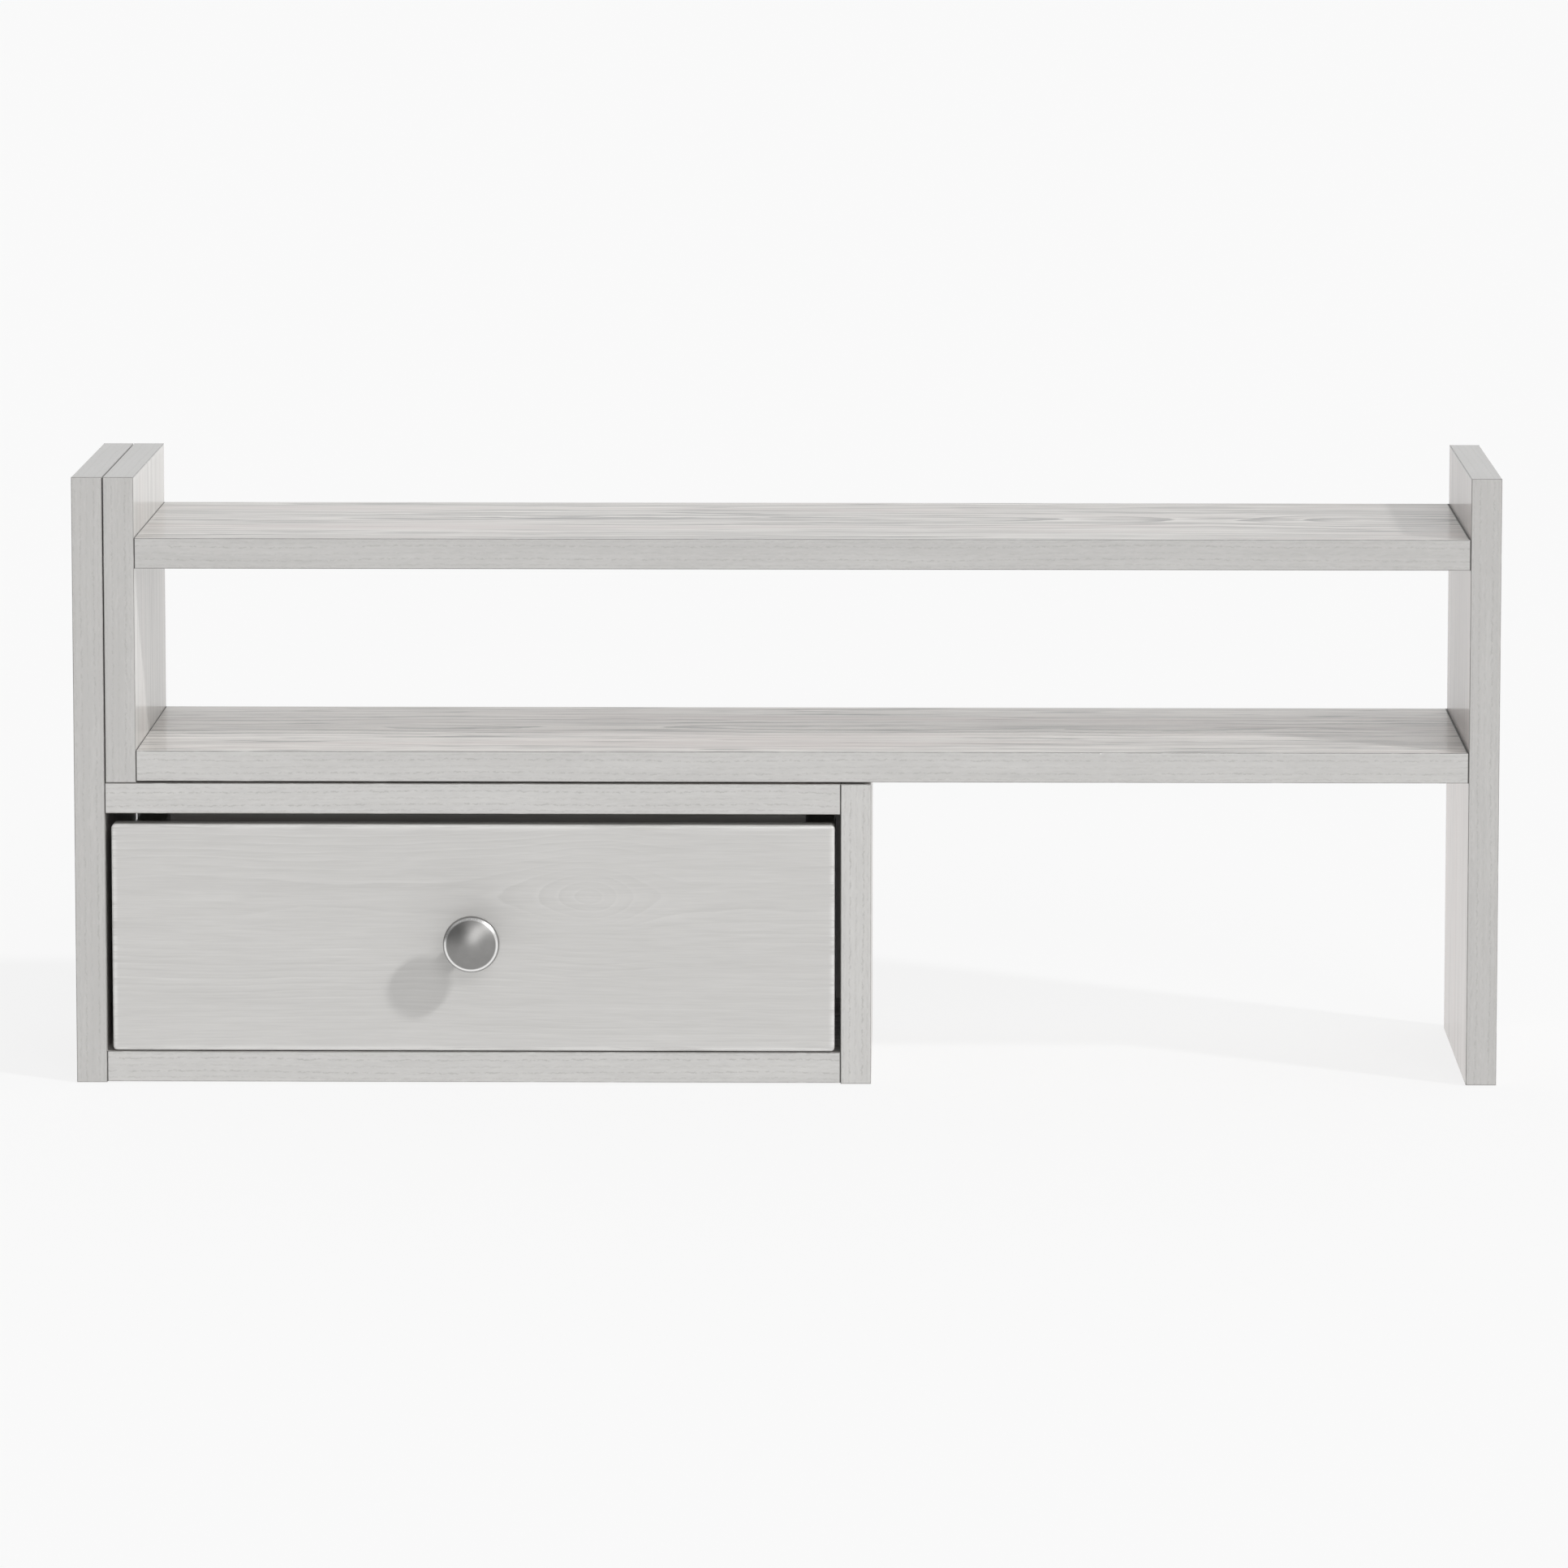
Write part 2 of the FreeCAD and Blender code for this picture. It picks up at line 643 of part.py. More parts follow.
def drawer_front():
    board = node(slab("drawer_front", "XZ_Plane", "front_width", "front_height", "front_board"))
    dress(board, "Fillet", "corners", "front_corner", lambda edge: runs_along(edge, "y"))
    dress(board, "Fillet", "arris", "front_arris", lambda edge: lies_at(edge, y=0))
    middles = ("side_left + drawer_board / 2 - front_left",
               "side_right + drawer_board / 2 - front_left")
    drill(board, "bolts", "XZ_Plane", "front_board", -1,
          [(middle, "drawer_cam_z - front_bottom") for middle in middles],
          "thread_bore", "thread_bore_depth")
    drill(board, "dowels", "XZ_Plane", "front_board", -1,
          [(middle, f"drawer_cam_z {way} drawer_dowel_step - front_bottom")
           for middle in middles for way in "+-"], "dowel_bore", "dowel_bore_depth")
    drill(board, "knob_screw", "XZ_Plane", "front_board", -1,
          [("front_width / 2", "front_height / 2")], "knob_screw_diameter + fit", "front_board")
    groove(board, "groove", "XZ_Plane", "front_board", -1, "sheet_width + groove_play",
           "groove_width", "sheet_left - groove_play / 2 - front_left",
           "sheet_bottom - groove_play / 2 - front_bottom", "groove_depth")
    place(board, "front_left", "front_face + drawer_recess", "front_bottom")


def drawer_side(name, x, inner, direction, outer):
    """inner and outer are the levels of its faces, direction points from the inner to the outer."""
    board = node(slab(name, "YZ_Plane", "side_length", "side_height", "drawer_board"))
    dress(board, "Chamfer", "bevel", "drawer_arris",
          lambda edge: runs_along(edge, "y"))
    drill(board, "cam", "YZ_Plane", inner, direction, [("cam_setback", "drawer_cam_z - side_bottom")],
          "cam_bore", "drawer_cam_bore_depth")
    drill(board, "bolt", "XZ_Plane", "0", 1, [("drawer_board / 2", "drawer_cam_z - side_bottom")],
          "shank_bore", "cam_setback")
    drill(board, "dowels", "XZ_Plane", "0", 1,
          [("drawer_board / 2", f"drawer_cam_z {way} drawer_dowel_step - side_bottom")
           for way in "+-"], "dowel_bore", "dowel_far_depth")
    groove(board, "groove", "YZ_Plane", inner, direction, "side_length", "groove_width",
           "0", "groove_height", "groove_depth")
    screws = [("side_length - drawer_board / 2", f"{height} - side_bottom")
              for height in screw_heights]
    drill(board, "screws", "YZ_Plane", outer, -direction, screws, "screw_shank + fit",
          "drawer_board")
    drill(board, "screw_heads", "YZ_Plane", outer, -direction, screws, "screw_head + fit",
          "(screw_head - screw_shank) / 2 + fit")
    place(board, x, "front_back", "side_bottom")


def drawer_back():
    board = node(slab("drawer_back", "XZ_Plane", "drawer_inside", "drawer_back_height",
                      "drawer_board"))
    dress(board, "Chamfer", "bevel", "drawer_arris",
          lambda edge: runs_along(edge, "x"))
    for end, level, direction in (("left", "0", 1), ("right", "drawer_inside", -1)):
        drill(board, f"screws_{end}", "YZ_Plane", level, direction,
              [("drawer_board / 2", f"{height} - drawer_back_bottom") for height in screw_heights],
              "screw_thread + fit", "screw_length - drawer_board + fit")
    drill(board, "pin_holes", "XY_Plane", "0", 1,
          [(f"drawer_inside * {share}", "drawer_board / 2") for share in pin_shares],
          "nail_bore", "nail_length - bottom_sheet + fit")
    place(board, "side_left + drawer_board", "drawer_back_face", "drawer_back_bottom")


def drawer_bottom():
    sheet_of_board = node(slab("drawer_bottom", "XY_Plane", "sheet_width", "sheet_length",
                               "bottom_sheet"))
    drill(sheet_of_board, "pin_holes", "XY_Plane", "0", 1,
          [(f"groove_depth - groove_play + drawer_inside * {share}",
            "sheet_length - drawer_board / 2") for share in pin_shares],
          "nail_bore", "bottom_sheet")
    place(sheet_of_board, "sheet_left", "front_back - groove_depth + groove_play", "sheet_bottom")


def drawer_fasteners():
    left_middle, right_middle = "side_left + drawer_board / 2", "side_right + drawer_board / 2"
    into_left = Rotation(Vector(0, 1, 0), Vector(0, 0, -1), Vector(-1, 0, 0), "XYZ")
    into_right = Rotation(Vector(0, 1, 0), Vector(0, 0, 1), Vector(1, 0, 0), "XYZ")
    group("drawer_cam_locks", drawer_cam_lock_master, [
        ("side_left + drawer_board - cam_sink", "front_back + cam_setback", "drawer_cam_z",
         into_left),
        ("side_right + cam_sink", "front_back + cam_setback", "drawer_cam_z", into_right)])
    group("drawer_cam_bolts", cam_bolt_master,
          [(middle, "front_back", "drawer_cam_z", along_y)
           for middle in (left_middle, right_middle)])
    group("drawer_dowels", dowel_master,
          [(middle, "front_back", f"drawer_cam_z {way} drawer_dowel_step", along_y)
           for middle in (left_middle, right_middle) for way in "+-"])
    group("drawer_back_screws", board_screw_master,
          [(x, "drawer_back_face + drawer_board / 2", height, turn)
           for x, turn in (("side_left + fit", along_x),
                           ("side_right + drawer_board - fit", against_x))
           for height in screw_heights])
    group("drawer_bottom_pins", nail_master,
          [(f"side_left + drawer_board + drawer_inside * {share}",
            "drawer_back_face + drawer_board / 2", "sheet_bottom", along_z)
           for share in pin_shares])


def drawer_knob():
    """Its foot is at x = 0 of its own outline and the dome at +X; placed to point to the front."""
    stem = turned("knob_stem", [
        ("0", "0"),
        ("0", "knob_foot / 2"),
        ("knob_foot_height", "knob_foot / 2"),
        ("knob_foot_height", "knob_neck / 2"),
        ("knob_rim_back / 2", "knob_neck / 2"),
        ("knob_rim_back", "knob_diameter / 2 - knob_rim_bevel"),
        ("knob_rim_back + knob_rim_bevel", "knob_diameter / 2"),
        ("knob_rim_front - knob_rim_bevel", "knob_diameter / 2"),
        ("knob_rim_front", "knob_diameter / 2 - knob_rim_bevel"),
        ("knob_reach", "knob_diameter / 2 - knob_rim_bevel"),
        ("knob_reach", "0"),
    ])
    dress(stem, "Fillet", "flare", "knob_neck",
          lambda edge: lies_at(edge, x=sizes["knob_rim_back"] / 2)
          and edge.BoundBox.ZMax > edge.BoundBox.ZMin + 1e-4)
    drill(stem, "tapping", "YZ_Plane", "0", 1, [("0", "0")], "knob_screw_diameter + fit",
          "knob_screw_bite + fit")
    dome = doc.addObject("Part::Sphere", "knob_dome")
    dome.setExpression("Radius", formula("dome_radius"))
    place(dome, "knob_reach - dome_radius", "0", "0")
    knob = node(doc.addObject("Part::Common", "drawer_knob"))
    knob.Base = stem
    knob.Tool = dome
    knob.Placement = Placement(Vector(), against_y)
    place(knob, "knob_x", "front_face + drawer_recess", "knob_z")


def knob_screw():
    """The inner face of the drawer front is at x = 0 of its own outline, the tip at +X."""
    screw = node(turned("knob_screw", [
        ("0 - knob_screw_head_height", "0"),
        ("0 - knob_screw_head_height", "knob_screw_head / 2 - 1"),
        ("1 - knob_screw_head_height", "knob_screw_head / 2"),
        ("0", "knob_screw_head / 2"),
        ("0", "knob_screw_diameter / 2"),
        ("front_board + knob_screw_bite - 0.5", "knob_screw_diameter / 2"),
        ("front_board + knob_screw_bite", "knob_screw_diameter / 2 - 0.5"),
        ("front_board + knob_screw_bite", "0"),
    ]))
    groove(screw, "slot", "YZ_Plane", "0 - knob_screw_head_height", 1, "knob_screw_head",
           "cam_slot / 2", "0 - knob_screw_head / 2", "0 - cam_slot / 4",
           "knob_screw_head_height / 2")
    screw.Placement = Placement(Vector(), against_y)
    place(screw, "knob_x", "front_back", "knob_z")


drawer_front()
drawer_side("drawer_side_left", "side_left", "drawer_board", -1, "0")
drawer_side("drawer_side_right", "side_right", "0", 1, "drawer_board")
drawer_back()
drawer_bottom()
drawer_fasteners()
drawer_knob()
knob_screw()


# ---------------------------------------------------------------- check and write

doc.recompute()
for item in doc.Objects:
    if {"Invalid", "Error"} & set(item.State):
        raise RuntimeError(f"{item.Label} failed: {item.State}")
for item in nodes:
    if item.Shape.isNull() or not item.Shape.isValid() or not item.Shape.Solids:
        raise RuntimeError(f"{item.Label} has no valid solid")

os.makedirs("parts", exist_ok=True)
for item in nodes:
    item.Shape.exportStep(f"parts/{item.Label}.step")
print(f"{len(nodes)} sub-parts, {sum(len(item.Shape.Solids) for item in nodes)} solids")
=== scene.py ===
import bpy
import bmesh
import math
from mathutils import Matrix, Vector


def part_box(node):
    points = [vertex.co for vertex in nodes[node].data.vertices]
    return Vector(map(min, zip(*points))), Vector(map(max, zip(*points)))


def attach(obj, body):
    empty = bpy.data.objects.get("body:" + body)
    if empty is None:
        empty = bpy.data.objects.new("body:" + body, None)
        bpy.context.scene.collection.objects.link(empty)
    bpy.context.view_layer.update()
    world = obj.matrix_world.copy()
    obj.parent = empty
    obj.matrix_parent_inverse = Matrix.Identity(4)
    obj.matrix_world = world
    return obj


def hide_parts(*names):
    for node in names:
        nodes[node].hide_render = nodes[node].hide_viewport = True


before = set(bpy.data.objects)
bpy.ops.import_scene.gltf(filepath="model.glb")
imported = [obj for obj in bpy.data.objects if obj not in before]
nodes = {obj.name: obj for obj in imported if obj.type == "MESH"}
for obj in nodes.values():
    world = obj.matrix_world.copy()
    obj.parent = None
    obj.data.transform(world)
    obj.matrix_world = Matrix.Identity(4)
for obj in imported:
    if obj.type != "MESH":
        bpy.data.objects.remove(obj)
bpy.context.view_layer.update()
print("frame loaded:", len(nodes), "nodes")


class Wire:  # one output of a node, so that shader maths reads as plain sums
    def __init__(self, finish, socket):
        self.finish, self.socket = finish, socket

    def __add__(self, other):
        return self.finish.maths("ADD", self, other)

    def __radd__(self, other):
        return self.finish.maths("ADD", other, self)

    def __sub__(self, other):
        return self.finish.maths("SUBTRACT", self, other)

    def __rsub__(self, other):
        return self.finish.maths("SUBTRACT", other, self)

    def __mul__(self, other):
        return self.finish.maths("MULTIPLY", self, other)

    def __rmul__(self, other):
        return self.finish.maths("MULTIPLY", other, self)

    def __truediv__(self, other):
        return self.finish.maths("DIVIDE", self, other)

    def __rtruediv__(self, other):
        return self.finish.maths("DIVIDE", other, self)

    def __pow__(self, other):
        return self.finish.maths("POWER", self, other)

    def __neg__(self):
        return self.finish.maths("MULTIPLY", self, -1.0)

    def __abs__(self):
        return self.finish.maths("ABSOLUTE", self)


class Finish:  # a node tree being wired, for a material or for the room's light
    def __init__(self, owner):
        self.owner = owner
        owner.use_nodes = True
        self.tree = owner.node_tree
        self.tree.nodes.clear()

    def feed(self, socket, value):
        if isinstance(value, Wire):
            self.tree.links.new(value.socket, socket)
        else:
            socket.default_value = value

    def node(self, kind, settings=None, values=None, out=0):
        made = self.tree.nodes.new(kind)
        for name, value in (settings or {}).items():
            if name == "stops":
                ramp = made.color_ramp
                while len(ramp.elements) < len(value):
                    ramp.elements.new(0.5)
                for stop, (place, colour) in zip(ramp.elements, value):
                    stop.position, stop.color = place, (*colour, 1.0)
            else:
                setattr(made, name, value)
        for name, value in (values or {}).items():
            self.feed(next(s for s in made.inputs if name in (s.identifier, s.name) and s.enabled), value)
        return Wire(self, made.outputs[out]) if made.outputs else None

    def maths(self, how, *values):
        made = self.tree.nodes.new("ShaderNodeMath")
        made.operation = how
        for socket, value in zip(made.inputs, values):
            self.feed(socket, value)
        return Wire(self, made.outputs[0])

    def least(self, a, b):
        return self.maths("MINIMUM", a, b)

    def most(self, a, b):
        return self.maths("MAXIMUM", a, b)

    def length(self, a, b):
        return self.maths("SQRT", a * a + b * b)

    def fade(self, value, start, end):  # 0 at start, 1 at end, with soft shoulders
        settings = {"interpolation_type": "SMOOTHSTEP"}
        return self.node("ShaderNodeMapRange", settings, {"Value": value, "From Min": start, "From Max": end})

    def peak(self, value, middle, width):  # 1 at the middle, 0 at the given width from it
        return self.fade(abs(value - middle), width, 0.0)

    def split(self, out):
        point = self.node("ShaderNodeTexCoord", out=out)
        parts = self.node("ShaderNodeSeparateXYZ", values={"Vector": point})
        return [Wire(self, s) for s in parts.socket.node.outputs]

    def place(self):  # the object's own coordinates, one wire each
        return self.split(3)

    def facing(self):  # which way the face looks, one wire each
        return self.split(1)

    def direction(self):  # for the room: the way a ray of light comes from, one wire each
        return self.split(0)

    def vector(self, x, y, z):
        return self.node("ShaderNodeCombineXYZ", values={"X": x, "Y": y, "Z": z})

    def noise(self, point, detail=2.0, roughness=0.5):
        values = {"Vector": point, "Scale": 1.0, "Detail": detail, "Roughness": roughness}
        return self.node("ShaderNodeTexNoise", values=values)

    def mix(self, share, low, high):  # between two colours
        settings = {"data_type": "RGBA"}
        values = {"Factor_Float": share, "A_Color": self.colour(low), "B_Color": self.colour(high)}
        return self.node("ShaderNodeMix", settings, values, out=2)

    def colour(self, value):
        return value if isinstance(value, Wire) else (*value, 1.0)

    def shader(self, values, bump, distance):
        normal = self.node("ShaderNodeBump", values={"Height": bump, "Distance": distance, "Strength": 1.0})
        surface = self.node("ShaderNodeBsdfPrincipled", values={**values, "Normal": normal})
        self.node("ShaderNodeOutputMaterial", values={"Surface": surface})
        return self.owner


def newFinish(name):
    return Finish(bpy.data.materials.new(name))


def dress(name, material):  # a carried-over node gets its finish
    node = nodes[name]
    if not node.material_slots:
        node.data.materials.append(material)
    for slot in node.material_slots:
        slot.material = material


# Camera, a long lens a little above and to the right of the middle
viewpoint = {
    "place": (0.0608, -4.39025, 0.7167), "aim": (-0.002, 0.0, 0.139), "lens": 203.4, "sensor": 36.0,
    "near": 0.1, "far": 50.0,
}
camera = bpy.data.objects.new("camera", bpy.data.cameras.new("camera"))
bpy.context.scene.collection.objects.link(camera)
camera.location = viewpoint["place"]
sight = Vector(viewpoint["aim"]) - camera.location
camera.rotation_euler = sight.to_track_quat("-Z", "Y").to_euler()
camera.data.lens, camera.data.sensor_width = viewpoint["lens"], viewpoint["sensor"]
camera.data.clip_start, camera.data.clip_end = viewpoint["near"], viewpoint["far"]
bpy.context.scene.camera = camera
bpy.context.scene.view_settings.view_transform = "Standard"


# Room light: pale boxes all round, brightest behind and to the right, dark low down in front, one bright box high up
# in front, one soft key from the right and a weak fill beside the lens
studio = {
    "backdrop": 0.94, "zenith": 0.6,
    "heights": (0.0, 0.342, 0.707),  # sines of 0, 20 and 45 degrees above the horizon
    "sides": {  # radiance at those heights
        "rear": (0.6, 1.15, 0.6), "front": (0.0, 0.0, 0.25), "left": (0.1, 0.3, 1.0), "right": (1.2, 1.0, 0.35),
    },
    "spread": 2.0,  # power of the cosine by which one side passes into the next
    "box": {"towards": (0.21, -0.90, 0.39), "radiance": 4.5, "inner": 4.0, "outer": 17.0},
    "key": 1.4, "keyFrom": (0.645, -0.489, 0.587), "keyAngle": 4.5,
    "fill": 0.35, "fillAngle": 3.0,
    "lampAway": 3.0,
}


def makeSun(name, towards, strength, angle):
    light = bpy.data.objects.new(name, bpy.data.lights.new(name, "SUN"))
    light.data.energy, light.data.angle = strength, math.radians(angle)
    light.rotation_euler = (-Vector(towards)).to_track_quat("-Z", "Y").to_euler()
    light.location = Vector(towards).normalized() * studio["lampAway"]
    bpy.context.scene.collection.objects.link(light)


def sideGlow(room, x, y, z):
    level = room.length(x, y) + 0.001
    ways = {"rear": y, "front": -y, "left": -x, "right": x}
    glow = 0.0
    for side, radiance in studio["sides"].items():
        share = room.most(ways[side] / level, 0.0) ** studio["spread"]
        stops = [(height, (v, v, v)) for height, v in zip(studio["heights"], radiance)]
        stops.append((1.0, (studio["zenith"],) * 3))
        glow = glow + room.node("ShaderNodeValToRGB", {"stops": stops}, {"Fac": z}) * share
    return glow


def boxGlow(room, x, y, z):
    box = studio["box"]
    towards = Vector(box["towards"]).normalized()
    near = x * towards.x + y * towards.y + z * towards.z
    outer, inner = (math.cos(math.radians(box[rim])) for rim in ("outer", "inner"))
    return room.fade(near, outer, inner) * box["radiance"]


def makeRoom():
    world = bpy.data.worlds.new("room")
    bpy.context.scene.world = world
    room = Finish(world)
    x, y, z = room.direction()
    glow = sideGlow(room, x, y, z) + boxGlow(room, x, y, z)
    white = (1.0, 1.0, 1.0, 1.0)
    dome = room.node("ShaderNodeBackground", values={"Color": white, "Strength": glow})
    backdrop = room.node("ShaderNodeBackground", values={"Color": white, "Strength": studio["backdrop"]})
    seen = room.node("ShaderNodeLightPath")
    both = room.node("ShaderNodeMixShader", values={"Fac": seen, "Shader": dome, "Shader_001": backdrop})
    room.node("ShaderNodeOutputWorld", values={"Surface": both})
    makeSun("key", studio["keyFrom"], studio["key"], studio["keyAngle"])
    makeSun("fill", -sight, studio["fill"], studio["fillAngle"])


makeRoom()
print("camera and light ready")


# Floor, pale and plain, running out of sight
floorLook = {"half": 30.0, "drop": 0.0002, "albedo": 0.87, "glow": 0.8, "glowStrength": 0.985}


def makeFloor():
    mesh = bpy.data.meshes.new("floor")
    h, z = floorLook["half"], -floorLook["drop"]
    mesh.from_pydata([(-h, -h, z), (h, -h, z), (h, h, z), (-h, h, z)], [], [(0, 1, 2, 3)])
    floor = bpy.data.objects.new("floor", mesh)
    bpy.context.scene.collection.objects.link(floor)
    paint = newFinish("floor_paper")
    grey, glow = floorLook["albedo"], floorLook["glowStrength"]
    matt = paint.node("ShaderNodeBsdfDiffuse", values={"Color": (grey, grey, grey, 1.0)})
    lit = paint.node("ShaderNodeEmission", values={"Color": (1.0, 1.0, 1.0, 1.0), "Strength": glow})
    values = {"Fac": floorLook["glow"], "Shader": matt, "Shader_001": lit}
    paint.node("ShaderNodeOutputMaterial", values={"Surface": paint.node("ShaderNodeMixShader", values=values)})
    floor.data.materials.append(paint.owner)


makeFloor()


# Board faces: pale oak print under satin melamine, raw chipboard where the board is cut and left bare
laminateLook = {
    "vein": (0.20, 0.194, 0.186), "rose": (0.66, 0.585, 0.56), "wornAndHighlight": (0.72, 0.715, 0.70),
    # the near-black here is painted shade, standing for the gaps between boards
    "gapShade": (0.05, 0.048, 0.045), "chip": (0.50, 0.38, 0.25), "chipDark": (0.27, 0.18, 0.10),
    "roughness": 0.38, "specular": 0.2, "coat": 0.42, "coatRoughness": 0.1, "relief": 0.000012,
    "veinFade": (0.575, 0.69), "blushFade": (0.45, 0.75),  # where in their noises these start and are whole
    "rubAndHighlightReach": (0.0034, 0.0006), "rubAndHighlightFade": (0.55, 0.85), "rubAndHighlight": 0.55,  # the print is paler along the edges: partly rubbed, partly a painted highlight
    "gapShadeCore": 0.7,  # share of a painted gap shade's width that is fully dark
    "bareFacing": 0.7, "bareRough": 0.4, "bareRelief": 8,
}
printNoises = {  # scales along the grain and across it per metre, detail, roughness
    "broad": (1.1, 26, 2.0, 0.5), "band": (5.0, 120, 3.0, 0.6), "line": (20.0, 340, 3.0, 0.65),
    "fibre": (45.0, 1300, 2.0, 0.6), "tip": (13.0, 190, 2.5, 0.55), "blush": (4.0, 30, 2.0, 0.5),
}
printSway = {  # the figure wanders across the board: scales along and across, reach in metres
    "drift": (3.0, 9.0, 0.010), "tremble": (17.0, 30.0, 0.0016),
}
chipFlakes = {"coarse": 420, "fine": 1500, "dark": (0.36, 0.62)}
ringShape = {  # one growth ring runs from 0 to 1: pale early wood at its start, dark late wood towards its end
    "early": (0.34, 0.03), "late": (0.55, 0.97), "ripple": (14.0, 60.0), "patch": (6.0, 45.0),
    "patchFade": (0.36, 0.64), "whole": 0.25,
}


def edgeDistance(paint, place, low, high):  # how far a point of a face is from the board's nearest edge
    a, b, c = (paint.least(p - lo, hi - p) for p, lo, hi in zip(place, low, high))
    return paint.most(paint.least(a, b), paint.least(paint.most(a, b), c))


def chipboard(paint, place):  # flat flakes pressed into a board
    x, y, z = place
    big, small = chipFlakes["coarse"], chipFlakes["fine"]
    coarse = paint.noise(paint.vector(x * big, y * big, z * big), detail=3.0, roughness=0.6)
    fine = paint.noise(paint.vector(x * small, y * small, z * small))
    share = paint.fade(coarse * 0.7 + fine * 0.3, *chipFlakes["dark"])
    return paint.mix(share, laminateLook["chipDark"], laminateLook["chip"]), share


def ringFigure(paint, along, across, rings, seed):  # growth rings cut by the face, in long pointed arches
    heave = paint.noise(paint.vector(along * rings["pace"] + seed, seed, 0.3), detail=1.5, roughness=0.4)
    depth = (heave - 0.5) * rings["heave"]
    if "eye" in rings:  # the rings close round one point and run level away from it
        middle, slope, limit = rings["eye"]
        depth = depth + paint.maths("TANH", (along - middle) * slope / limit) * limit
    radius = paint.length(across - rings["heart"], depth)
    lengthwise, crosswise = ringShape["ripple"]
    point = paint.vector(along * lengthwise + seed, across * crosswise, seed)
    ripple = paint.noise(point, detail=3.0, roughness=0.6)
    part = paint.maths("FRACT", radius / rings["spacing"] + (ripple - 0.5) * rings["ripple"])
    (earlyStart, earlyEnd), (lateStart, lateEnd) = ringShape["early"], ringShape["late"]
    late = paint.fade(part, lateStart, lateEnd) * paint.fade(part, 1.0, lateEnd)
    early = paint.fade(part, earlyStart, earlyEnd) * paint.fade(part, 0.0, earlyEnd)
    lengthwise, crosswise = ringShape["patch"]
    patchy = paint.noise(paint.vector(along * lengthwise + seed, across * crosswise, seed + 2.0))
    near = paint.fade(radius, rings["reach"], rings["reach"] * ringShape["whole"])
    strength = near * paint.fade(patchy, *ringShape["patchFade"])
    return late * strength, early * strength


def boardFinish(name, node, grain, face, seed, look, bareAxis=None, gapShades=()):
    paint = newFinish(name)
    low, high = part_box(node)
    place = paint.place()
    along, wide = place[grain], place[face]
    a, b = (place[i] for i in range(3) if i != grain)

    def swayPart(key, shift):
        lengthwise, crosswise, reach = printSway[key]
        point = paint.vector(along * lengthwise + seed, wide * crosswise, shift)
        return (paint.noise(point) - 0.5) * reach

    sway = swayPart("drift", seed * 1.7) + swayPart("tremble", seed)
    late, early = ringFigure(paint, along, wide + sway, look["rings"], seed)
    a, b = a + sway, b + sway

    def layer(key, shift):
        lengthwise, crosswise, detail, roughness = printNoises[key]
        x, y, z = (p * scale for p, scale in ((along, lengthwise), (a, crosswise), (b, crosswise)))
        return paint.noise(paint.vector(x + shift[0], y + shift[1], z + shift[2]), detail, roughness)

    broad, band = layer("broad", (0, seed, 0)), layer("band", (seed, 0, seed))
    line, fibre = layer("line", (0, seed, 0)), layer("fibre", (0, 0, seed))
    share = 0.5 + look["tone"] + (broad - 0.5) * look["broad"] + (band - 0.5) * look["band"]
    share = share + (line - 0.5) * look["line"] + (fibre - 0.5) * look["fibre"]
    share = share + early * look["early"] - late * look["late"]
    shade = paint.mix(share, look["deep"], look["pale"])
    vein = paint.fade(layer("tip", (seed * 3, 0, seed)), *laminateLook["veinFade"]) * look["veins"]
    shade = paint.mix(paint.most(vein, late * look["ringVein"]), shade, laminateLook["vein"])
    blush = paint.fade(layer("blush", (seed, 0, 0)), *laminateLook["blushFade"])
    shade = paint.mix(look["rosy"] + blush * look["blush"], shade, laminateLook["rose"])
    edge = edgeDistance(paint, place, low, high)
    # paler within a few mm of the board's edges: part wear, part painted highlight of the rounded edge
    patches = paint.fade(line + fibre * 0.5, *laminateLook["rubAndHighlightFade"])
    rubAndHighlight = paint.fade(edge, *laminateLook["rubAndHighlightReach"]) * patches
    shade = paint.mix(rubAndHighlight * laminateLook["rubAndHighlight"], shade, laminateLook["wornAndHighlight"])
    rough = laminateLook["roughness"] + (line - 0.5) * 0.12 + rubAndHighlight * 0.1
    height = line * 0.5 + fibre * 0.35 - vein * 0.4
    gapShadow = 0.0
    for axis, end, width in gapShades:  # painted shade of the gap where the board meets its neighbour
        gap = place[axis] - low[axis] if end == 0 else high[axis] - place[axis]
        gapShadow = paint.most(gapShadow, paint.fade(gap, width, width * laminateLook["gapShadeCore"]))
        shade = paint.mix(gapShadow, shade, laminateLook["gapShade"])
    if bareAxis is not None:
        chips, lumps = chipboard(paint, place)
        bare = paint.maths("GREATER_THAN", abs(paint.facing()[bareAxis]), laminateLook["bareFacing"])
        shade = paint.mix(bare, shade, chips)
        rough = rough + bare * laminateLook["bareRough"]
        height = height + bare * lumps * laminateLook["bareRelief"]
    values = {
        "Base Color": shade, "Roughness": rough, "Specular IOR Level": laminateLook["specular"],
        "Coat Weight": (1.0 - gapShadow) * laminateLook["coat"], "Coat Roughness": laminateLook["coatRoughness"],
    }
    return paint.shader(values, height, laminateLook["relief"])


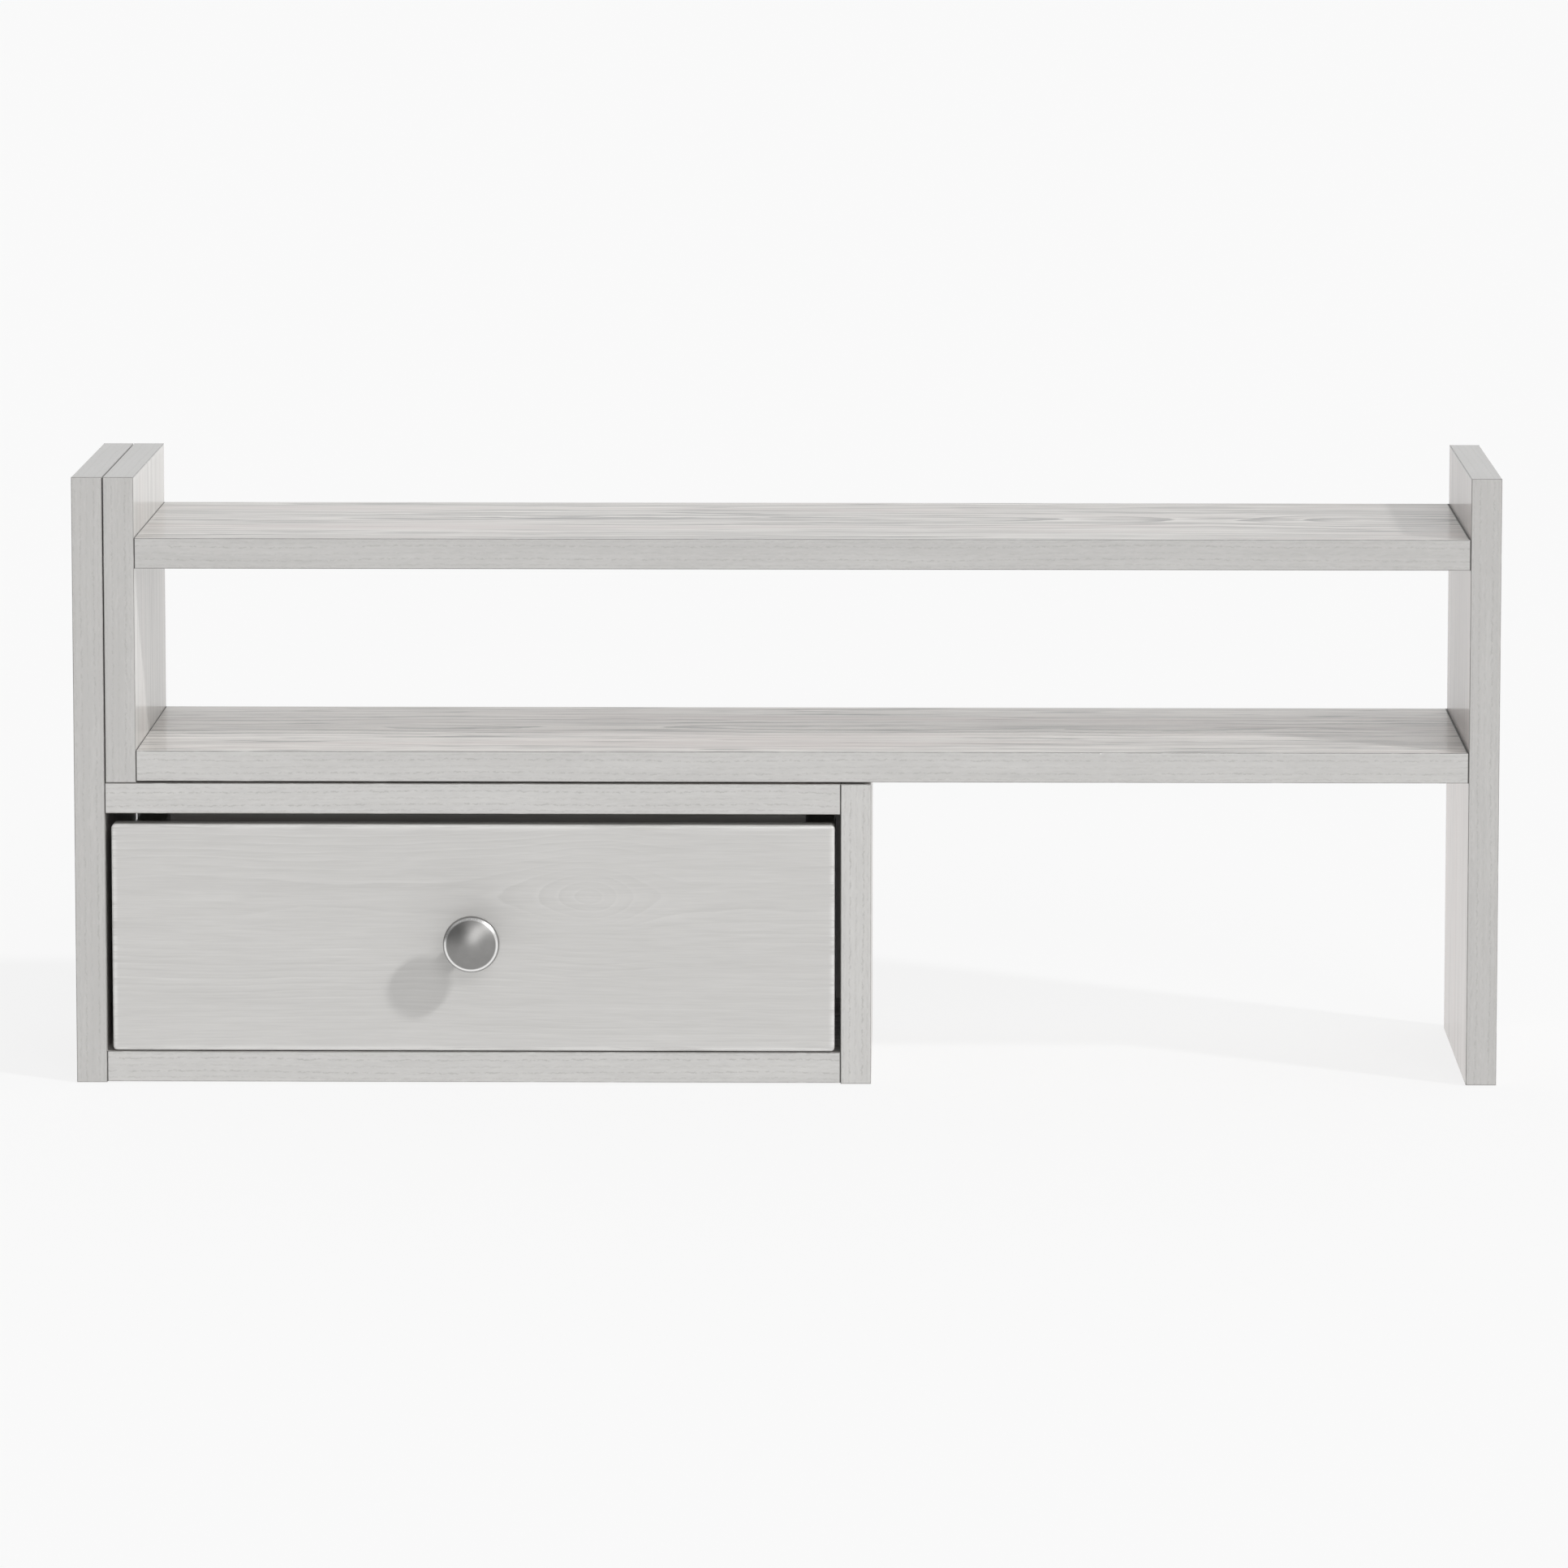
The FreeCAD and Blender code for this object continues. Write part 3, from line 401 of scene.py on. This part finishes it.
boldGrain = {  # shelf and cabinet boards: long streaks and pointed arches
    "tone": 0.0, "broad": 0.5, "band": 2.0, "line": 2.2, "fibre": 0.8, "early": 0.8, "late": 0.65,
    "veins": 1.0, "ringVein": 0.95, "rosy": 0.0, "blush": 0.6,
    "deep": (0.37, 0.353, 0.335), "pale": (0.725, 0.70, 0.668),
    "rings": {"heart": 0.02, "pace": 5.0, "heave": 0.11, "spacing": 0.011, "ripple": 1.0, "reach": 0.065},
}
quietGrain = {  # uprights: soft upright bands
    "tone": 0.0, "broad": 0.6, "band": 0.6, "line": 0.4, "fibre": 0.25, "early": 0.1, "late": 0.1,
    "veins": 0.08, "ringVein": 0.05, "rosy": 0.0, "blush": 0.3,
    "deep": (0.365, 0.352, 0.336), "pale": (0.715, 0.695, 0.667),
    "rings": {"heart": 0.02, "pace": 4.0, "heave": 0.08, "spacing": 0.012, "ripple": 0.6, "reach": 0.09},
}
drawerGrain = {  # drawer front: fine close lines round one eye, given as its place, slope and depth
    "tone": -0.04, "broad": 0.10, "band": 0.10, "line": 0.22, "fibre": 0.25, "early": 0.065, "late": 0.055,
    "veins": 0.0, "ringVein": 0.0, "rosy": 0.0, "blush": 0.0,
    "deep": (0.355, 0.348, 0.338), "pale": (0.695, 0.687, 0.671),
    "rings": {
        "heart": 0.094, "pace": 6.5, "heave": 0.016, "spacing": 0.0034, "ripple": 0.9, "reach": 0.5,
        "eye": (-0.092, 0.5, 0.016),
    },
}
axisX, axisY, axisZ = 0, 1, 2
# painted shade of the gaps at the shelves' ends, where they meet the uprights
shelfGapShades = ((axisX, 0, 0.0005), (axisX, 1, 0.0012))  # axis, end, width

uprights = {  # the grain of an upright runs up it: seed, look
    "base_side_tall": (1.3, {**quietGrain, "tone": 0.05}),
    "base_side_short": (2.9, {**quietGrain, "tone": 0.1}),
    # the two inner uprights get a higher tone, painted light on their inner faces; the tall one's rose tint is
    # painted warm light
    "shelf_side_short": (4.1, {**quietGrain, "tone": 0.22, "band": 1.4, "line": 0.9, "veins": 0.2}),
    "shelf_side_tall": (5.7, {**quietGrain, "tone": 0.3, "rosy": 0.5, "band": 2.4, "line": 1.4, "veins": 0.5}),
}
# a lighter copy of the shelf print for the lower shelf: painted light on a board that the upper shelf shades
paintedLightShelf = {**boldGrain, "tone": 0.15, "deep": (0.43, 0.412, 0.393), "pale": (0.86, 0.835, 0.80)}
levels = {  # the grain of a shelf or a cabinet board runs from end to end: seed, look, painted gap shades
    "upper_shelf": (7.3, boldGrain, shelfGapShades),
    "lower_shelf": (8.6, paintedLightShelf, shelfGapShades),
    "base_top_board": (9.8, boldGrain, ()),
    "base_bottom_board": (11.2, boldGrain, ()),
}
drawerBoards = {  # grain axis, axis across the grain, seed
    "drawer_side_left": (axisY, axisZ, 13.1),
    "drawer_side_right": (axisY, axisZ, 14.5),
    "drawer_back": (axisX, axisZ, 15.2),
}
for name, (seed, look) in uprights.items():
    dress(name, boardFinish("laminate_" + name, name, axisZ, axisY, seed, look, axisZ))
for name, (seed, look, gapShades) in levels.items():
    dress(name, boardFinish("laminate_" + name, name, axisX, axisY, seed, look, axisX, gapShades))
for name, (grain, face, seed) in drawerBoards.items():
    dress(name, boardFinish("laminate_" + name, name, grain, face, seed, quietGrain, grain))
dress("drawer_front", boardFinish("laminate_drawer_front", "drawer_front", axisX, axisZ, 17.9, drawerGrain))
print("board faces dressed")


# Edge bands: a thin strip with its own print, wavy broken lines in it, and the darker core bared along its trimmed
# edges
bandLook = {
    "deep": (0.45, 0.442, 0.431), "pale": (0.552, 0.545, 0.531), "dash": (0.37, 0.36, 0.348),
    "core": (0.24, 0.235, 0.225), "bared": 0.8,
    "lines": ((0.30, 0.72), (0.73, 0.75), (0.1, 0.42), (0.5, 0.35), (0.88, 0.35)),  # place across, strength
    "thick": 0.042, "wave": 0.34, "jitter": 0.20,
    # the strip's darkened ends are painted shade of the gaps against the uprights
    "gapShadow": (0.0006, 0.0004), "gapShadowStrength": 0.9,
    "brokenFade": (0.38, 0.62), "turnFade": (0.16, 0.36), "nickFade": (0.2, 0.5),
    "roughness": 0.4, "specular": 0.2, "coat": 0.5, "coatRoughness": 0.15, "relief": 0.000015,
}
bandNoises = {  # scales along the strip and across it per metre
    "wave": 7.0, "jitter": (330.0, 160), "fibre": (170.0, 900), "band": (12.0, 160), "broken": (420.0, 700),
    "nick": 90.0,
}


def bandFinish(name, node, upright, seed, tone):
    paint = newFinish(name)
    low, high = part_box(node)
    x, y, z = paint.place()
    if upright:
        along, across, wide = y + z, x - low.x, high.x - low.x
    else:
        along, across, wide = x + y, z - low.z, high.z - low.z
    point = paint.vector(along * bandNoises["wave"] + seed, seed, 0.0)
    wave = paint.noise(point)
    lengthwise, crosswise = bandNoises["jitter"]
    point = paint.vector(along * lengthwise + seed, seed, across * crosswise)
    jitter = paint.noise(point, detail=4.0, roughness=0.7)
    place = across / wide + (wave - 0.5) * bandLook["wave"] + (jitter - 0.5) * bandLook["jitter"]
    lengthwise, crosswise = bandNoises["fibre"]
    point = paint.vector(along * lengthwise, across * crosswise + seed, seed)
    fibre = paint.noise(point, detail=3.0, roughness=0.65)
    lengthwise, crosswise = bandNoises["band"]
    band = paint.noise(paint.vector(along * lengthwise, across * crosswise + seed, seed))
    share = 0.5 + tone + (fibre - 0.5) * 1.1 + (band - 0.5) * 0.8
    shade = paint.mix(share, bandLook["deep"], bandLook["pale"])
    marks = 0.0
    lengthwise, crosswise = bandNoises["broken"]
    for i, (middle, strength) in enumerate(bandLook["lines"]):
        point = paint.vector(along * lengthwise + seed, i * 7.0 + seed, across * crosswise)
        broken = paint.fade(paint.noise(point, detail=3.0, roughness=0.65), *bandLook["brokenFade"])
        marks = marks + paint.peak(place, middle, bandLook["thick"]) * broken * strength
    shade = paint.mix(marks, shade, bandLook["dash"])
    nx, ny, nz = (abs(n) for n in paint.facing())
    turn = paint.most(ny * nz, nx * paint.most(ny, nz))  # above 0 only where two faces meet
    nick = paint.noise(paint.vector(along * bandNoises["nick"] + seed, 5.0, seed), detail=3.0)
    bared = paint.fade(turn, *bandLook["turnFade"]) * paint.fade(nick, *bandLook["nickFade"])
    shade = paint.mix(bared * bandLook["bared"], shade, bandLook["core"])
    if not upright:  # painted shade of the gap where the strip butts against the uprights
        gap = paint.least(x - low.x, high.x - x)
        gapShadow = paint.fade(gap, *bandLook["gapShadow"]) * bandLook["gapShadowStrength"]
        shade = paint.mix(gapShadow, shade, laminateLook["gapShade"])
    values = {
        "Base Color": shade, "Roughness": bandLook["roughness"] + (fibre - 0.5) * 0.12 + bared * 0.1,
        "Specular IOR Level": bandLook["specular"], "Coat Weight": bandLook["coat"],
        "Coat Roughness": bandLook["coatRoughness"],
    }
    return paint.shader(values, fibre * 0.6 - marks * 0.5, bandLook["relief"])


bands = {  # upright or not, seed, tone
    "base_side_tall_edging": (True, 21.3, -0.45),
    "base_side_short_edging": (True, 22.7, 0.15),
    "shelf_side_short_edging": (True, 23.1, -0.4),
    "shelf_side_tall_edging": (True, 24.9, -0.4),
    "base_top_board_edging": (False, 25.2, 0.1),
    "base_bottom_board_edging": (False, 26.4, 0.1),
    "upper_shelf_edging": (False, 27.8, -0.3),
    "lower_shelf_edging": (False, 28.6, 0.0),
}
for name, (upright, seed, tone) in bands.items():
    dress(name, bandFinish("band_" + name, name, upright, seed, tone))
print("edge bands dressed")


# Grey hardboard: mottled, with pressed fibres
hardboardLook = {
    "deep": (0.36, 0.355, 0.345), "pale": (0.47, 0.462, 0.45), "roughness": 0.55, "relief": 0.00005,
    "mottle": 60, "fibre": 900,
}


def hardboardFinish(name, seed):
    paint = newFinish(name)
    x, y, z = paint.place()
    big, small = hardboardLook["mottle"], hardboardLook["fibre"]
    mottle = paint.noise(paint.vector(x * big + seed, y * big, z * big), detail=4.0, roughness=0.6)
    fibre = paint.noise(paint.vector(x * small, y * small, z * small + seed), detail=3.0, roughness=0.6)
    share = (mottle - 0.5) * 1.2 + (fibre - 0.5) * 0.6 + 0.5
    shade = paint.mix(share, hardboardLook["deep"], hardboardLook["pale"])
    values = {"Base Color": shade, "Roughness": hardboardLook["roughness"] + (fibre - 0.5) * 0.2}
    return paint.shader(values, fibre * 0.7 + mottle * 0.3, hardboardLook["relief"])


dress("base_back_panel", hardboardFinish("hardboard_back", 31.0))
dress("drawer_bottom", hardboardFinish("hardboard_drawer", 33.0))


# Fittings: die-cast cams, bright steel, beech dowels
zincLook = {
    "deep": (0.42, 0.42, 0.43), "pale": (0.66, 0.66, 0.67), "roughness": 0.42, "grain": 700.0, "relief": 0.00006,
}
steelLook = {
    "deep": (0.52, 0.53, 0.55), "pale": (0.78, 0.79, 0.80), "roughness": 0.24, "grain": 420.0, "relief": 0.00002,
}
beechLook = {
    "deep": (0.42, 0.27, 0.15), "pale": (0.68, 0.50, 0.32), "roughness": 0.6, "relief": 0.00005,
    "rings": (60, 900), "fleck": (300, 2500),
}
stainScale = 90


def metalFinish(name, look, seed):
    paint = newFinish(name)
    x, y, z = paint.place()
    scale = look["grain"]
    grain = paint.noise(paint.vector(x * scale + seed, y * scale, z * scale), detail=3.0)
    stain = paint.noise(paint.vector(x * stainScale, y * stainScale + seed, z * stainScale))
    shade = paint.mix((grain - 0.5) * 0.8 + (stain - 0.5) * 0.8 + 0.5, look["deep"], look["pale"])
    rough = look["roughness"] + (grain - 0.5) * 0.2 + (stain - 0.5) * 0.15
    return paint.shader({"Base Color": shade, "Roughness": rough, "Metallic": 1.0}, grain, look["relief"])


def beechFinish():
    paint = newFinish("beech_dowel")
    x, y, z = paint.place()
    (ringAlong, ringAcross), (fleckAlong, fleckAcross) = beechLook["rings"], beechLook["fleck"]
    rings = paint.noise(paint.vector(x * ringAlong, y * ringAcross, z * ringAcross), detail=3.0)
    fleck = paint.noise(paint.vector(x * fleckAlong, y * fleckAcross, z * fleckAcross))
    shade = paint.mix((rings - 0.5) * 1.4 + (fleck - 0.5) * 0.8 + 0.5, beechLook["deep"], beechLook["pale"])
    values = {"Base Color": shade, "Roughness": beechLook["roughness"] + (fleck - 0.5) * 0.2}
    return paint.shader(values, rings, beechLook["relief"])


zinc = metalFinish("cast_zinc", zincLook, 41.0)
steel = metalFinish("bright_steel", steelLook, 43.0)
beech = beechFinish()
for name in nodes:
    if name.endswith("_cam_locks"):
        dress(name, zinc)
    elif name.endswith(("_cam_bolts", "_nails", "_pins", "_screws", "knob_screw")):
        dress(name, steel)
    elif name.endswith("_dowels"):
        dress(name, beech)
print("fittings dressed")


# Knob: satin nickel, turned: foot, neck, flared head with a low dome and a bright ring round it, a painted highlight
knob = {
    "foot": 0.0065, "footHigh": 0.002, "edge": 0.0004, "neck": 0.005, "neckTop": 0.0105, "fillet": 0.0006,
    "flareSteps": 24, "flareEnd": 0.985, "flareFull": 0.8275, "rimInset": 0.0012,
    "rim": 0.0138, "rimLow": 0.0186, "rimHigh": 0.0038, "shoulder": 0.0009, "shoulderTurn": 66,
    "reach": 0.0259, "domeSteps": 32, "turns": 128,
    "deep": (0.235, 0.232, 0.227), "pale": (0.31, 0.306, 0.30), "roughness": 0.40, "relief": 0.000008,
    # the thin bright ring on the head's shoulder, its place, width and depth, is a painted highlight
    "cut": 0.0127, "cutWidth": 0.0009, "cutDeep": 0.001, "bright": (0.92, 0.915, 0.905),
    "turned": (6000, 3000), "haze": 160, "grain": 2500,
}


def arc(centre, radius, start, end, steps):  # (radius, height) points of a rounded corner, angles in degrees
    r, t = centre
    angles = [math.radians(start + (end - start) * i / steps) for i in range(steps + 1)]
    return [(r + radius * math.cos(a), t + radius * math.sin(a)) for a in angles]


def knobFoot():
    k = knob
    inner = k["foot"] - k["edge"]
    line = [(0.0, 0.0), (inner, 0.0)]
    line += arc((inner, k["edge"]), k["edge"], -90, 0, 6)
    line += arc((inner, k["footHigh"] - k["edge"]), k["edge"], 0, 90, 6)
    line += [(k["neck"] + k["fillet"], k["footHigh"])]
    line += arc((k["neck"] + k["fillet"], k["footHigh"] + k["fillet"]), k["fillet"], -90, -180, 6)
    return line


def knobFlare():  # the neck swells into the underside of the head
    k = knob
    swell, rise = k["rim"] - k["rimInset"] - k["neck"], k["rimLow"] - k["neckTop"]
    line = []
    for i in range(k["flareSteps"] + 1):
        s = i / k["flareSteps"]
        flare = 1 - math.sqrt(max(0.0, 1 - (s * k["flareEnd"]) ** 2))
        line.append((k["neck"] + swell * flare / k["flareFull"], k["neckTop"] + rise * s))
    return line


def knobHead():
    k = knob
    corner, inner = k["shoulder"], k["rim"] - k["shoulder"]
    line = arc((inner, k["rimLow"] + corner), corner, -80, 0, 8)
    line += arc((inner, k["rimLow"] + k["rimHigh"] - corner), corner, 0, k["shoulderTurn"], 12)
    startR, startT = line[-1]
    rise = k["reach"] - startT
    ball = (startR ** 2 + rise ** 2) / (2 * rise)
    lean = math.asin(startR / ball)
    angles = [lean * (1 - i / k["domeSteps"]) for i in range(1, k["domeSteps"] + 1)]
    return line + [(ball * math.sin(a), k["reach"] - ball + ball * math.cos(a)) for a in angles]


def turnedMesh(name, profile, foot, turns):  # the profile turned about the line along Y through its foot
    midX, footY, midZ = foot
    shape = bmesh.new()
    rings = []
    for r, t in profile:
        y = footY - t
        if r < 1e-7:
            rings.append([shape.verts.new((midX, y, midZ))])
            continue
        around = [2 * math.pi * i / turns for i in range(turns)]
        rings.append([shape.verts.new((midX + r * math.sin(a), y, midZ + r * math.cos(a))) for a in around])
    for first, second in zip(rings, rings[1:]):
        for i in range(turns):
            j = (i + 1) % turns
            corners = [ring[k % len(ring)] for ring, k in ((first, i), (first, j), (second, j), (second, i))]
            shape.faces.new(list(dict.fromkeys(corners)))
    bmesh.ops.recalc_face_normals(shape, faces=shape.faces)
    mesh = bpy.data.meshes.new(name)
    shape.to_mesh(mesh)
    shape.free()
    mesh.shade_smooth()
    return mesh


def knobFinish(foot):
    midX, footY, midZ = foot
    paint = newFinish("satin_nickel")
    x, y, z = paint.place()
    radius = paint.length(x - midX, z - midZ)
    radial, lengthwise = knob["turned"]
    turned = paint.noise(paint.vector(radius * radial, y * lengthwise, 0.0))
    haze = paint.noise(paint.vector(x * knob["haze"], y * knob["haze"], z * knob["haze"]), detail=3.0)
    grain = paint.noise(paint.vector(x * knob["grain"], y * knob["grain"], z * knob["grain"]))
    shade = paint.mix((turned - 0.5) * 0.5 + (haze - 0.5) * 0.9 + 0.5, knob["deep"], knob["pale"])
    rimY = footY - knob["rimLow"]
    # painted highlight: a thin bright ring in the base colour on the head's shoulder, also smoother there
    cut = paint.peak(radius, knob["cut"], knob["cutWidth"]) * paint.fade(y, rimY, rimY - knob["cutDeep"])
    shade = paint.mix(cut, shade, knob["bright"])
    rough = knob["roughness"] + (haze - 0.5) * 0.12 + (grain - 0.5) * 0.08 - cut * 0.15
    values = {"Base Color": shade, "Roughness": rough, "Metallic": 1.0}
    return paint.shader(values, turned * 0.5 + grain * 0.5, knob["relief"])


def makeKnob():
    low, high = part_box("drawer_knob")
    foot = ((low.x + high.x) / 2, high.y, (low.z + high.z) / 2)  # in the plane of the drawer front
    mesh = turnedMesh("knob", knobFoot() + knobFlare() + knobHead(), foot, knob["turns"])
    piece = bpy.data.objects.new("knob", mesh)
    bpy.context.scene.collection.objects.link(piece)
    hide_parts("drawer_knob")
    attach(piece, "drawer")
    piece.data.materials.append(knobFinish(foot))


makeKnob()
print("knob turned")
